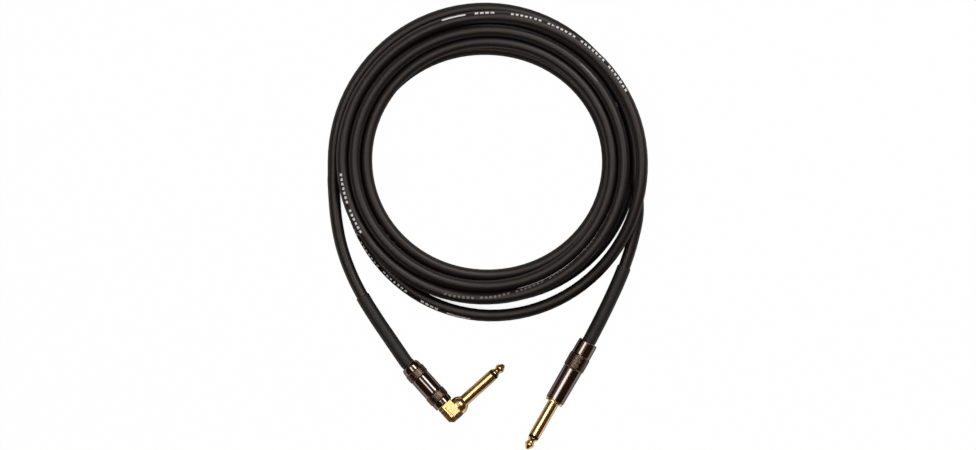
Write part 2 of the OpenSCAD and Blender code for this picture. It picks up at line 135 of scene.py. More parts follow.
class Wire:
    """A value on its way through a material, so that shader maths reads as maths."""

    def __init__(self, paint, socket):
        self.paint = paint
        self.socket = socket

    def maths(self, operation, *values):
        return self.paint.add("ShaderNodeMath", {"operation": operation},
                              dict(enumerate(values)))

    def other(self, out):
        """Another output of the same node."""
        return Wire(self.paint, self.socket.node.outputs[out])

    def __add__(self, other):
        return self.maths("ADD", self, other)

    def __radd__(self, other):
        return self.maths("ADD", other, self)

    def __sub__(self, other):
        return self.maths("SUBTRACT", self, other)

    def __rsub__(self, other):
        return self.maths("SUBTRACT", other, self)

    def __mul__(self, other):
        return self.maths("MULTIPLY", self, other)

    def __rmul__(self, other):
        return self.maths("MULTIPLY", other, self)

    def __lt__(self, other):
        return self.maths("LESS_THAN", self, other)

    def __gt__(self, other):
        return self.maths("GREATER_THAN", self, other)

    def __abs__(self):
        return self.maths("ABSOLUTE", self)

    def larger(self, other):
        """The larger of two values."""
        return self.maths("MAXIMUM", self, other)

    def wrap(self, span):
        """The remainder, always positive."""
        return self.maths("FLOORED_MODULO", self, span)

    def step(self, low, high):
        """0 below low, 1 above high and smooth between them."""
        return self.paint.add("ShaderNodeMapRange", {"interpolation_type": "SMOOTHSTEP"},
                              {0: self, 1: low, 2: high})


class Paint:
    """One material, built node by node."""

    def __init__(self, name):
        self.material = bpy.data.materials.new(name)
        self.material.use_nodes = True
        self.tree = self.material.node_tree
        self.shader = self.tree.nodes["Principled BSDF"]

    def add(self, kind, settings=None, inputs=None, out=0):
        """Adds a node with its settings and the values or links of its sockets."""
        node = self.tree.nodes.new(kind)
        for key, value in (settings or {}).items():
            setattr(node, key, value)
        for key, value in (inputs or {}).items():
            self.join(value, node.inputs[key])
        return Wire(self, node.outputs[out])

    def join(self, value, socket):
        """Links a wire to a socket, or sets the socket to a plain value."""
        if isinstance(value, Wire):
            self.tree.links.new(value.socket, socket)
        elif socket.type == "RGBA" and len(value) == 3:
            socket.default_value = (*value, 1.0)
        else:
            socket.default_value = value

    def place(self):
        """Where a point of the surface is, in the object's own space."""
        return self.add("ShaderNodeTexCoord", out="Object")

    def own_marks(self):
        """The two values that the mesh carries in its UVs."""
        uv = self.add("ShaderNodeUVMap", {"uv_map": "UVMap"})
        first = self.add("ShaderNodeSeparateXYZ", None, {0: uv})
        return first, first.other(1)

    def noise(self, scale, detail, at=None):
        return self.add("ShaderNodeTexNoise", None,
                        {"Vector": at or self.place(), "Scale": scale, "Detail": detail})

    def blend(self, mask, dark, light):
        """Colour dark where mask is 0, light where it is 1."""
        node = self.add("ShaderNodeMix", {"data_type": "RGBA"}, out=2)
        sockets = node.socket.node.inputs
        self.join(mask, sockets[0])
        self.join(dark, sockets[6])
        self.join(light, sockets[7])
        return node

    def bump(self, height, distance, strength=1.0):
        return self.add("ShaderNodeBump", None,
                        {"Height": height, "Distance": distance, "Strength": strength})

    def finish(self, **sockets):
        """Sets the shader's sockets, named with underscores, and returns the material."""
        for name, value in sockets.items():
            self.join(value, self.shader.inputs[name.replace("_", " ")])
        return self.material


# the marking along the jacket, in mm: a dash, bold ticks, then groups of small ticks
DASH_END, DASH_HALF, RUBBED_THINNER = 13.4, 0.55, 0.25
BOLD_START, BOLD_END, BOLD_PITCH, BOLD_TICK = 18.6, 29.6, 2.9, 2.0
SMALL_START, SMALL_END, SMALL_PITCH, SMALL_TICK = 38.6, 120.0, 2.6, 1.5
GROUP_PITCH, GROUP_LENGTH = 20.8, 18.1
RUBBED = 1000.0                          # added to the millimetre where the print is rubbed off


def jacket_paint():
    """Soft matt jacket with a fine grain and a line of printed dashes and ticks."""
    sizes = bpy.context.scene.cable_sizes
    p = Paint("jacket")
    along, across = p.own_marks()
    along = along * 1000.0
    rubbed = along > RUBBED / 2
    along = along - rubbed * RUBBED
    off_line = abs((across - 0.5) * (pi * sizes.cable / MM))
    half = sizes.print_height / MM / 2
    dash = (along > 0.0) * (along < DASH_END) * (off_line < DASH_HALF - rubbed * RUBBED_THINNER)
    bold = (along > BOLD_START) * (along < BOLD_END)
    bold = bold * ((along - BOLD_START).wrap(BOLD_PITCH) < BOLD_TICK)
    small = (along > SMALL_START) * (along < SMALL_END)
    small = small * ((along - SMALL_START).wrap(SMALL_PITCH) < SMALL_TICK)
    space = (along - SMALL_START).wrap(GROUP_PITCH) > GROUP_LENGTH
    worn = p.noise(900.0, 2.0) > 0.36
    ticks = (bold + small * (1.0 - space)) * (off_line < half) * worn
    mark = (dash + ticks).step(0.2, 0.8) * (1.0 - rubbed * 0.8)
    grain = p.noise(2600.0, 2.0)
    cloud = p.noise(55.0, 3.0)
    jacket = Vector(sizes.jacket)
    base = p.blend(cloud.step(0.3, 0.7), tuple(jacket * 0.85), tuple(jacket * 1.2))
    colour = p.blend(mark, base, tuple(sizes.ink))
    rough = 0.40 + cloud * 0.08 + grain * 0.04 + mark * 0.1
    return p.finish(Base_Color=colour, Roughness=rough, Specular_IOR_Level=0.5,
                    Specular_Tint=(1.0, 0.93, 0.88), Normal=p.bump(grain, 0.02 * MM, 0.6))


def shrink_paint():
    """Shrunk sleeve: matt, with faint lengthwise streaks and specks."""
    sizes = bpy.context.scene.cable_sizes
    p = Paint("shrink")
    uv = p.add("ShaderNodeUVMap", {"uv_map": "UVMap"})
    stretched = p.add("ShaderNodeMapping", {"vector_type": "POINT"},
                      {0: uv, "Scale": (120.0, 26.0, 1.0)})
    streak = p.noise(1.0, 3.0, at=stretched)
    speck = p.noise(1500.0, 2.0)
    shade = Vector(sizes.shrink)
    base = p.blend(streak.step(0.3, 0.75), tuple(shade * 0.8), tuple(shade * 1.35))
    return p.finish(Base_Color=base, Roughness=0.5 + speck * 0.16, Specular_IOR_Level=0.5,
                    Normal=p.bump(streak + speck * 0.3, 0.05 * MM, 0.5))


def plating(name, colour, rough, grain_scale, deep=0.75, knurl=None):
    """Polished plating with a fine grain, clouded down to a deep share of its colour.

    knurl is the colour where a turned piece is wider than its plain stretches: painted shade,
    darker than the plating, for the shade in the knurl's grooves."""
    p = Paint(name)
    cloud = p.noise(140.0, 4.0)
    fine = p.noise(grain_scale, 2.0)
    tint = Vector(colour)
    base = p.blend(cloud.step(0.25, 0.8), tuple(tint * deep), tuple(tint))
    if knurl:
        # painted shade: the knurled band, wider than PLAIN_R, takes the darker knurl colour
        radius = p.own_marks()[1]
        base = p.blend(radius > PLAIN_R * MM, base, tuple(knurl))
    roughness = rough + cloud * 0.04 + fine * 0.02
    return p.finish(Base_Color=base, Metallic=1.0, Roughness=roughness)


def moulded(name, colour, rough, scale=700.0, metallic=0.0, shine=0.5):
    """Moulded or cast surface with a faint mottle."""
    p = Paint(name)
    mottle = p.noise(scale, 3.0)
    tint = Vector(colour)
    base = p.blend(mottle.step(0.3, 0.7), tuple(tint * 0.82), tuple(tint))
    return p.finish(Base_Color=base, Metallic=metallic, Roughness=rough + mottle * 0.1,
                    Specular_IOR_Level=shine, Normal=p.bump(mottle, 0.02 * MM, 0.4))


def liner_paint():
    """Clear insulating sleeve, a little milky."""
    p = Paint("liner")
    haze = p.noise(300.0, 3.0)
    base = p.blend(haze, (0.70, 0.71, 0.68), (0.86, 0.87, 0.84))
    return p.finish(Base_Color=base, Roughness=0.25 + haze * 0.12, Alpha=0.45)


def make_paints():
    plugs = bpy.context.scene.plug_sizes
    return {
        "jacket": jacket_paint(),
        "shrink": shrink_paint(),
        "gold": plating("gold", plugs.gold, 0.17, 2400.0, 0.92),
        "bronze": plating("bronze", plugs.bronze, 0.1, 1800.0, 0.85, plugs.knurl),
        "ring_plastic": moulded("ring_plastic", (0.006, 0.0045, 0.0038), 0.42, shine=0.18),
        "washer_plastic": moulded("washer_plastic", (0.80, 0.79, 0.74), 0.4),
        "tinned": plating("tinned", (0.66, 0.66, 0.63), 0.3, 1500.0),
        "solder": moulded("solder", (0.62, 0.62, 0.62), 0.24, 900.0, 1.0),
        "core_white": moulded("core_white", (0.82, 0.80, 0.74), 0.38),
        "screen_plastic": moulded("screen_plastic", (0.02, 0.02, 0.02), 0.5),
        "copper": plating("copper", (0.72, 0.36, 0.21), 0.28, 2600.0),
        "liner": liner_paint(),
    }


SLOTS = {s["node"]: s["material_slot"] for s in frame["record"]["subparts"]}
PAINTS = {}


def paints():
    """The materials, made once."""
    if not PAINTS:
        PAINTS.update(make_paints())
    return PAINTS


def dress(node):
    """Gives a CAD node its material by the record's slot."""
    piece = frame["nodes"][node]
    for polygon in piece.data.polygons:
        polygon.material_index = 0
    piece.data.materials.clear()
    piece.data.materials.append(paints()[SLOTS[node]])


# ---------------------------------------------------------------- sizes of the plugs, in mm

KNURL_R = 6.1                            # over a barrel's knurl
KNURL_SKIN = 0.4                         # a knurl is cut only this near to its outside
KNURL_CUT_R, KNURL_STEP = 5.95, 0.14     # its mesh is fine, by this step, where it is wider
PLAIN_R = 5.8                            # only a knurl is wider than this
BARREL_R, WAIST_R = 5.7, 5.5
THREAD_BORE, LINER_BORE, EXIT_BORE = 4.55, 4.75, 4.5
SHAFT_R, SHAFT_BORE = 3.175, 2.05
RING_REAR = -21.6                        # where a shaft ends at its insulating ring
FLANGE_R, FLANGE_END = 5.1, 1.3
THREAD_R, THREAD_DEPTH = 4.5, 0.3
THREAD_START, THREAD_END = 1.9, 7.3
THREAD_LEAST_R = 4.2                     # what is narrower than this gets no thread
STEM_R, STEM_END = 2.9, 5.5
ROD_R = 1.1                              # rod that carries a tip contact
STRAIGHT_ROD_END, ANGLE_ROD_END = 9.1, 8.95
RUN_OUT = 0.4                            # knurls and threads grow to full depth over this
CORD_SIDES, SLEEVE_SIDES, SHAFT_SIDES, TIP_SIDES = 28, 32, 72, 64
AXIS_Z = KNURL_R * MM                    # the barrels lie on their knurls


def axis_frame(x, y, head):
    """Local +Z from the plug towards the cable, local +X down, as the solids have it."""
    turn = Matrix.Rotation(radians(head), 4, "Z") @ Matrix.Rotation(radians(90), 4, "Y")
    return Matrix.Translation((x * MM, y * MM, AXIS_Z)) @ turn


STRAIGHT = axis_frame(30.5, -5.0, 60.0)
ANGLE = axis_frame(-27.5, -10.4, 132.0)
REACH = 9.8 * MM                         # from the angle barrel's axis to its shaft's shoulder
ANGLE_SHAFT = ANGLE @ Matrix.Translation((0, -REACH, 0)) @ Matrix.Rotation(radians(-90), 4, "X")

# ---------------------------------------------------------------- the cable's route

TURN_POINTS = 96                         # points of the path in one turn of the coil
LOOP_COUNT = 5.5
COIL_X, COIL_Y = -6.5, 132.0
LAYER = 7.4
FLOOR_Z = CABLE_D / 2
UPPER_Z = FLOOR_Z + LAYER
RAISED_Z = UPPER_Z + 3
BRIDGE_Z = UPPER_Z + LAYER
# radius of the coil at each quarter turn, clockwise from nine o'clock
LOOPS = [88, 87, 82.3, 76.5,
         73.2, 64, 68, 64.5,
         69.2, 67.6, 70, 70.7,
         76.4, 74.2, 76.7, 78,
         83.5, 82, 87, 87.5,
         80.6, 80.3, 84.8, 86]
# the solids keep a gap between the loops, which lie closer here: added at some quarter turns
CLOSER = {2: -0.3, 3: 0.3, 7: 0.2, 8: 0.1, 9: 0.2, 10: 0.3, 11: 0.2, 12: -0.3, 13: 0.1, 14: 0.3,
          15: -0.2, 16: -0.5, 21: -0.3, 22: -0.5}
# height of the cable's centre at a turn, eased in between
CLIMB = [(0, FLOOR_Z), (1.7, FLOOR_Z), (1.93, UPPER_Z), (2.75, UPPER_Z), (2.9, RAISED_Z),
         (3.66, RAISED_Z), (3.8, UPPER_Z), (4.12, UPPER_Z), (4.27, BRIDGE_Z),
         (4.52, BRIDGE_Z), (4.68, FLOOR_Z), (5.18, FLOOR_Z), (5.33, UPPER_Z), (5.6, UPPER_Z)]
# free cable behind each plug, from the plug towards the coil
TAIL_ANGLE = [(-61.7, 30.4, 5.6), (-70.3, 43, 4.8), (-78.1, 55.6, 4.1), (-85, 69.6, 3.5),
              (-90.1, 84.4, 3.4), (-93.1, 100.4, 3.4)]
TAIL_STRAIGHT = [(58.7, 45.4, 6.1), (65.1, 58.8, 6.1), (70.7, 72.2, 6.3), (75.1, 86, 7),
                 (78.3, 102, 8.6)]
SLEEVE_START, SLEEVE_END = 6, 37         # points of a free end that its sleeve covers
# places along the plugs' axes: where a sleeve starts, the stripped jacket, where the cable may
# bend, and the rear of the barrel
STRAIGHT_SLEEVE, ANGLE_SLEEVE = 27.0, 24.0
STRAIGHT_STRIP, STRAIGHT_AXIS_END, STRAIGHT_REAR = 17.0, 43.0, 39.7
ANGLE_STRIP, ANGLE_AXIS_END, ANGLE_REAR = 16.5, 39.0, 35.9
PRINT_SPILL = 0.012                      # turns by which the marking carries on past a stretch
# printed stretches: first and last turn, and the millimetre of the marking at the first
PRINTS = [(3.37, 3.396, RUBBED), (3.559, 3.83, RUBBED), (3.925, 3.995, 86), (4.2, 4.44, 0),
          (4.768, 4.99, 0)]
# how far the printed line is rolled outwards from the top at a turn of the coil, in degrees
PRINT_ROLL = [(-1, 12), (3.4, 12), (3.55, -72), (3.64, -68), (3.68, -55), (3.72, -38),
              (3.75, -12), (3.79, 8), (3.83, 5), (3.92, 20), (4.0, 20), (4.2, 42), (4.25, 41),
              (4.3, 42), (4.44, 36), (4.76, 58), (4.84, 36), (4.9, 54), (4.935, 64), (4.965, 54),
              (7, 50)]


def between(table, t):
    """A value read from a table of (t, value), eased between its rows."""
    for (a, low), (b, high) in zip(table, table[1:]):
        if t <= b:
            s = (t - a) / (b - a)
            return low + (high - low) * s * s * (3 - 2 * s)
    return table[-1][1]


def loop_radius(t):
    q = min(floor(4 * t + 1e-9), int(4 * LOOP_COUNT) - 1)
    s = 4 * t - q
    a, b, c, d = (LOOPS[i] + CLOSER.get(i, 0) for i in (max(q - 1, 0), q, q + 1, q + 2))
    return b + s / 2 * (c - a + s * (2 * a - 5 * b + 4 * c - d + s * (3 * b - a - 3 * c + d)))


def coil_at(t):
    r, a = loop_radius(t), radians(180 - 360 * t)
    return Vector((COIL_X + r * cos(a), COIL_Y + r * sin(a), between(CLIMB, t))) * MM


def through(points, parts):
    """A smooth line through the points, with parts steps to each gap."""
    line = []
    for i in range(len(points) - 1):
        p0, p1 = points[max(i - 1, 0)], points[i]
        p2, p3 = points[i + 1], points[min(i + 2, len(points) - 1)]
        for k in range(parts):
            s = k / parts
            line.append(p1 + s / 2 * (p2 - p0 + s * (2 * p0 - 5 * p1 + 4 * p2 - p3
                                                     + s * (3 * p1 - p0 - 3 * p2 + p3))))
    line.append(points[-1])
    return line


def tail(place, strip, rear, axis_end, points, coil_end):
    """A free end of the cable, from the stripped jacket to the coil."""
    down = Vector((0, CABLE_D * MM, 0))
    on_axis = [place @ Vector((0, 0, z * MM)) for z in (strip, (strip + rear) / 2, rear, axis_end)]
    route = [Vector(p) * MM for p in points]
    return through(on_axis + route + [coil_end - 2 * down, coil_end - down, coil_end], 6)


def cable_route():
    """The cable's centreline from the straight plug to the right-angle plug, and its turns."""
    count = int(TURN_POINTS * LOOP_COUNT)
    coil = [coil_at(LOOP_COUNT - i / TURN_POINTS) for i in range(count + 1)]
    turns = [LOOP_COUNT - i / TURN_POINTS for i in range(count + 1)]
    first = tail(STRAIGHT, STRAIGHT_STRIP, STRAIGHT_REAR, STRAIGHT_AXIS_END, TAIL_STRAIGHT,
                 coil[0])[:-1]
    last = tail(ANGLE, ANGLE_STRIP, ANGLE_REAR, ANGLE_AXIS_END, TAIL_ANGLE, coil[-1])[-2::-1]
    # the free ends count as turns past either end of the coil
    return first + coil + last, [6.0] * len(first) + turns + [-0.5] * len(last)


def print_places(turns, run):
    """Where each point is on the marking, in metres, or None where nothing is printed."""
    places = [None] * len(turns)
    for first, last, start in PRINTS:
        inside = [i for i, t in enumerate(turns) if first - PRINT_SPILL <= t <= last + PRINT_SPILL]
        zero = min(inside, key=lambda i: abs(turns[i] - first))
        slip = (turns[zero] - first) * 2 * pi * loop_radius(first) * MM
        for i in inside:
            places[i] = start * MM + run[zero] + slip - run[i]
    return places


def lengths(path):
    """Distance along a path at each of its points."""
    total = [0.0]
    for a, b in zip(path, path[1:]):
        total.append(total[-1] + (b - a).length)
    return total


# ---------------------------------------------------------------- making meshes


def new_piece(name, vertices, faces, uvs=None, smooth=True):
    mesh = bpy.data.meshes.new(name)
    mesh.from_pydata([tuple(v) for v in vertices], [], faces)
    if uvs:
        layer = mesh.uv_layers.new(name="UVMap")
        for polygon in mesh.polygons:
            for loop, uv in zip(polygon.loop_indices, uvs[polygon.index]):
                layer.data[loop].uv = uv
    mesh.polygons.foreach_set("use_smooth", [smooth] * len(mesh.polygons))
    mesh.validate()
    piece = bpy.data.objects.new(name, mesh)
    bpy.context.scene.collection.objects.link(piece)
    return piece


def settle(piece, body, slot, *nodes):
    """Gives a piece its material and its body, and hides the CAD nodes that it stands for."""
    piece.data.materials.append(paints()[slot])
    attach(piece, body)
    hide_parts(*nodes)
    return piece


def ring_frames(path):
    """Two square directions at each point of a path: sideways and up."""
    frames = []
    for i in range(len(path)):
        ahead = (path[min(i + 1, len(path) - 1)] - path[max(i - 1, 0)]).normalized()
        side = Vector((-ahead.y, ahead.x, 0)).normalized()
        frames.append((side, ahead.cross(side)))
    return frames


def swept(name, path, radius, sides, rolls, places):
    """A closed tube along a path; its UVs give the place on the marking and the roll from it."""
    frames = ring_frames(path)
    vertices, faces, uvs = [], [], []
    for i, (side, up) in enumerate(frames):
        for k in range(sides):
            a = 2 * pi * k / sides
            vertices.append(path[i] + radius * (cos(a) * side + sin(a) * up))
    for i in range(len(path) - 1):
        u0, u1 = places[i], places[i + 1]
        if u0 is None or u1 is None:
            u0 = u1 = -1.0
        for k in range(sides):
            n, m = i * sides + k, i * sides + (k + 1) % sides
            faces.append((n, m, m + sides, n + sides))
            a, b = k / sides, (k + 1) / sides
            # v is 0.5 along the printed line
            near = [0.5 + (x - 0.25 - rolls[i]) for x in (a, b)]
            far = [0.5 + (x - 0.25 - rolls[i + 1]) for x in (a, b)]
            shift = floor(sum(near) / 2)
            near, far = [v - shift for v in near], [v - shift for v in far]
            uvs.append([(u0, near[0]), (u0, near[1]), (u1, far[1]), (u1, far[0])])
    last = (len(path) - 1) * sides
    faces.append(tuple(range(sides - 1, -1, -1)))
    faces.append(tuple(range(last, last + sides)))
    uvs += [[(-1, 0)] * sides] * 2
    return new_piece(name, vertices, faces, uvs)


def rounded(profile, amount, steps=3):
    """Rounds the corners of a profile of (radius, z) by up to amount."""
    out, count = [], len(profile)
    for i, (r, z) in enumerate(profile):
        here = Vector((r, z))
        if r <= 0:
            out.append(here)
            continue
        before, after = Vector(profile[i - 1]), Vector(profile[(i + 1) % count])
        cut = min(amount, (before - here).length * 0.45, (after - here).length * 0.45)
        p = here + (before - here).normalized() * cut
        q = here + (after - here).normalized() * cut
        for k in range(steps + 1):
            s = k / steps
            out.append(p * (1 - s) ** 2 + here * 2 * s * (1 - s) + q * s ** 2)
    return [(v.x, v.y) for v in out]


def braced(points, reach=0.3):
    """Adds a point near each end of a profile's long stretches, so that they shade straight."""
    out = []
    for p, q in zip(points, points[1:] + points[:1]):
        out.append(p)
        share = reach / max(hypot(q[0] - p[0], q[1] - p[1]), 1e-6)
        if share < 0.25:
            out += [(p[0] + (q[0] - p[0]) * k, p[1] + (q[1] - p[1]) * k)
                    for k in (share, 1 - share)]
    return out


def turned(name, place, profile, sides, amount=0.12, relief=None, fine=None):
    """A lathe-turned piece from a closed profile in mm of (radius, z) in its plug's frame.

    Its UVs give the share of a turn and the radius. relief(radius, z, angle) is added to the
    radius; fine = (z0, z1, least, step) cuts the profile finely between z0 and z1 where its
    radius is over least."""
    points = braced(rounded(profile, amount))
    if fine:
        z0, z1, least, step = fine
        dense = []
        for (r0, a), (r1, b) in zip(points, points[1:] + points[:1]):
            dense.append((r0, a))
            if min(r0, r1) > least and min(a, b) < z1 and max(a, b) > z0:
                count = max(1, ceil(abs(b - a) / step))
                dense += [(r0 + (r1 - r0) * k / count, a + (b - a) * k / count)
                          for k in range(1, count)]
        points = dense
    vertices, faces, uvs = [], [], []
    rows = len(points)
    for r, z in points:
        for k in range(sides):
            a = 2 * pi * k / sides
            d = relief(r, z, a) if relief else 0.0
            vertices.append(place @ Vector(((r + d) * cos(a) * MM, (r + d) * sin(a) * MM, z * MM)))
    for i in range(rows):
        j = (i + 1) % rows
        if points[i][0] <= 0 and points[j][0] <= 0:
            continue
        for k in range(sides):
            m = (k + 1) % sides
            a, b, c, d = i * sides + k, i * sides + m, j * sides + m, j * sides + k
            quad = [a, b, c, d]
            if points[i][0] <= 0:
                quad = [a, c, d]
            if points[j][0] <= 0:
                quad = [a, b, d]
            faces.append(tuple(quad))
            uvs.append([(k / sides, points[i][0] * MM)] * len(quad))
    piece = new_piece(name, vertices, faces, uvs)
    mesh = bmesh.new()
    mesh.from_mesh(piece.data)
    bmesh.ops.remove_doubles(mesh, verts=mesh.verts, dist=1e-7)
    bmesh.ops.recalc_face_normals(mesh, faces=mesh.faces)
    mesh.to_mesh(piece.data)
    mesh.free()
    return piece


def saw(x):
    """A triangle wave from 0 to 1 and back over each whole number."""
    return 1 - abs(2 * (x - floor(x)) - 1)


def knurl(bands, outer, depth, teeth):
    """Relief of a diamond knurl on the bands of (z0, z1)."""
    slope = teeth / (2 * pi * outer)

    def relief(r, z, a):
        for z0, z1 in bands:
            if z0 < z < z1 and r > outer - KNURL_SKIN:
                x, y = teeth * a / (2 * pi), slope * z
                ease = min(1.0, (z - z0) / RUN_OUT, (z1 - z) / RUN_OUT)
                return -depth * ease * (1 - min(saw(x + y), saw(x - y)))
        return 0.0

    return relief


def thread(z0, z1, least, pitch, depth):
    """Relief of a screw thread cut into the crests between z0 and z1."""

    def relief(r, z, a):
        if r < least or not z0 < z < z1:
            return 0.0
        ease = min(1.0, (z - z0) / RUN_OUT, (z1 - z) / RUN_OUT)
        return -depth * ease * (1 - saw(z / pitch - a / (2 * pi)))

    return relief


def bevelled(name, node, width):
    """A copy of a CAD node with its hard edges rounded."""
    source = frame["nodes"][node]
    piece = bpy.data.objects.new(name, source.data.copy())
    bpy.context.scene.collection.objects.link(piece)
    piece.data.materials.clear()
    mesh = bmesh.new()
    mesh.from_mesh(piece.data)
    bmesh.ops.remove_doubles(mesh, verts=mesh.verts, dist=2e-6)
    bmesh.ops.dissolve_limit(mesh, angle_limit=radians(1.0), verts=mesh.verts, edges=mesh.edges)
    mesh.to_mesh(piece.data)
    mesh.free()
    bevel = piece.modifiers.new("edges", "BEVEL")
    bevel.width = width
    bevel.segments = 3
    bevel.limit_method = "ANGLE"
    bevel.angle_limit = radians(28)
    bevel.harden_normals = False
    piece.data.polygons.foreach_set("use_smooth", [True] * len(piece.data.polygons))
    smooth = piece.modifiers.new("shading", "WEIGHTED_NORMAL")
    smooth.keep_sharp = False
    return piece


def strands(name, place, centre, z0, z1, spread, wire, count, lay):
    """Twisted copper strands round a straight line in a plug's frame, in mm."""
    vertices, faces = [], []
    rings, sides = max(6, ceil((z1 - z0) / 0.35)), 8
    for s in range(count):
        start = len(vertices)
        for i in range(rings + 1):
            z = z0 + (z1 - z0) * i / rings
            a = 2 * pi * s / (count - 1) + 2 * pi * z / lay
            away = 0.0 if s == count - 1 else spread
            x, y = centre + away * cos(a), away * sin(a)
            for k in range(sides):
                b = 2 * pi * k / sides
                vertices.append(place @ (Vector((x + wire * cos(b), y + wire * sin(b), z)) * MM))
        for i in range(rings):
            for k in range(sides):
                n, m = start + i * sides + k, start + i * sides + (k + 1) % sides
                faces.append((n, m, m + sides, n + sides))
        last = start + rings * sides
        faces.append(tuple(range(start + sides - 1, start - 1, -1)))
        faces.append(tuple(range(last, last + sides)))
    return new_piece(name, vertices, faces)


# ---------------------------------------------------------------- operators


# the stage, in metres
FLOOR_HALF = 3.0
FLOOR_DARK, FLOOR_LIGHT = (0.80, 0.80, 0.80), (0.82, 0.82, 0.82)
# reaches of the painted floor shadow: in narrow gaps, and near the cable in the floor's gloss
GAP_REACH, ROOM_REACH = 14 * MM, 40 * MM
ROOM_GLOW = (0.066, 0.035, 0.02)
MIDDLE = Vector((-0.006, 0.096, 0.006))  # the lamps face this point
LAMP_AWAY = 1.7
# how far out along their heading and how far aside for each metre of height, size in metres,
# and share of the lamp power
LAMPS = (("main lamp", 0.225, -0.2, (0.35, 1.15), 0.33),
         ("second lamp", 0.12, 0.66, (0.46, 1.2), 0.68),
         ("top lamp", -0.04, 0.0, (0.34, 0.34), 0.005),
         ("soft lamp", 0.62, 0.0, (1.6, 1.7), 0.12))
EYE_X, EYE_Y = -0.00671, 0.09597


class CABLE_OT_stage(bpy.types.Operator):
    """Floor, lamps, world and camera"""

    bl_idname = "cable.stage"
    bl_label = "Stage"

    def execute(self, context):
        sizes = context.scene.stage_sizes
        self.lay_floor(sizes)
        self.light_room(context.scene)
        self.hang_lamps(context.scene, sizes)
        self.place_camera(context.scene, sizes)
        context.scene.view_settings.view_transform = "Standard"
        return {"FINISHED"}

    def lay_floor(self, sizes):
        """A matt floor that shows as white, with painted shadow in narrow gaps."""
        span = FLOOR_HALF
        piece = new_piece("floor", [(-span, -span, 0), (span, -span, 0), (span, span, 0),
                                    (-span, span, 0)], [(0, 1, 2, 3)], smooth=False)
        p = Paint("floor")
        p.tree.nodes.remove(p.shader)
        direct = p.add("ShaderNodeLightPath", out="Is Camera Ray")
        glossy = direct.other("Is Glossy Ray")
        seen = direct.larger(glossy).larger(direct.other("Is Transmission Ray"))
        # painted shadow: a dark emission in narrow gaps, and close to the cable as the floor shows
        # in gloss
        gap = p.add("ShaderNodeAmbientOcclusion", {"samples": 12},
                    {"Distance": GAP_REACH}, out="AO")
        room = p.add("ShaderNodeAmbientOcclusion", {"samples": 12},
                     {"Distance": ROOM_REACH}, out="AO")
        open_floor = glossy * room.step(0.75, 1.0) + (1.0 - glossy) * gap.step(0.02, 0.1)
        grey = p.noise(3.0, 2.0)
        matt = p.add("ShaderNodeBsdfDiffuse", None,
                     {"Color": p.blend(grey, FLOOR_DARK, FLOOR_LIGHT)})
        # near-black emission: painted shadow where the floor is not open
        dark = p.add("ShaderNodeEmission", None, {"Color": (0.003, 0.003, 0.003)})
        white = p.add("ShaderNodeEmission", None, {"Color": (1, 1, 1), "Strength": 1.0})
        shown = p.add("ShaderNodeMixShader", None, {0: open_floor, 1: dark, 2: white})
        mix = p.add("ShaderNodeMixShader", None,
                    {0: seen * sizes.floor_white, 1: matt, 2: shown})
        p.join(mix, p.tree.nodes["Material Output"].inputs["Surface"])
        piece.data.materials.append(p.material)

    def light_room(self, scene):
        """A dim warm room that shows as white where the camera sees past the floor."""
        world = bpy.data.worlds.new("room")
        scene.world = world
        world.use_nodes = True
        tree = world.node_tree
        sky = tree.nodes["Background"]
        sky.inputs["Color"].default_value = (*ROOM_GLOW, 1)
        sky.inputs["Strength"].default_value = 1.0
        bright = tree.nodes.new("ShaderNodeBackground")
        bright.inputs["Color"].default_value = (1, 1, 1, 1)
        path = tree.nodes.new("ShaderNodeLightPath")
        choose = tree.nodes.new("ShaderNodeMixShader")
        tree.links.new(path.outputs["Is Camera Ray"], choose.inputs[0])
        tree.links.new(sky.outputs[0], choose.inputs[1])
        tree.links.new(bright.outputs[0], choose.inputs[2])
        tree.links.new(choose.outputs[0], tree.nodes["World Output"].inputs["Surface"])

    def hang_lamps(self, scene, sizes):
        """Area lamps that all face the cable's middle, laid out towards one heading."""
        out = Vector((cos(radians(sizes.lamp_heading)), sin(radians(sizes.lamp_heading)), 0))
        aside = Vector((out.y, -out.x, 0))
        for name, far, off, size, share in LAMPS:
            towards = (Vector((0, 0, 1)) + far * out + off * aside).normalized()
            lamp = bpy.data.lights.new(name, "AREA")
            lamp.shape = "RECTANGLE"
            lamp.size, lamp.size_y = size
            lamp.energy = sizes.lamp * share
            piece = bpy.data.objects.new(name, lamp)
            side = towards.cross(out).normalized()
            turn = Matrix((side, towards.cross(side), towards)).transposed()
            spot = Matrix.Translation(MIDDLE + LAMP_AWAY * towards)
            piece.matrix_world = spot @ turn.to_4x4()
            scene.collection.objects.link(piece)

    def place_camera(self, scene, sizes):
        """A camera straight over the cable."""
        camera = bpy.data.cameras.new("camera")
        camera.sensor_width = 36.0
        camera.lens = camera.sensor_width * sizes.distance / sizes.view_width
        camera.clip_end = 20.0
        eye = bpy.data.objects.new("camera", camera)
        eye.location = (EYE_X, EYE_Y, sizes.distance + AXIS_Z)
        scene.collection.objects.link(eye)
        scene.camera = eye


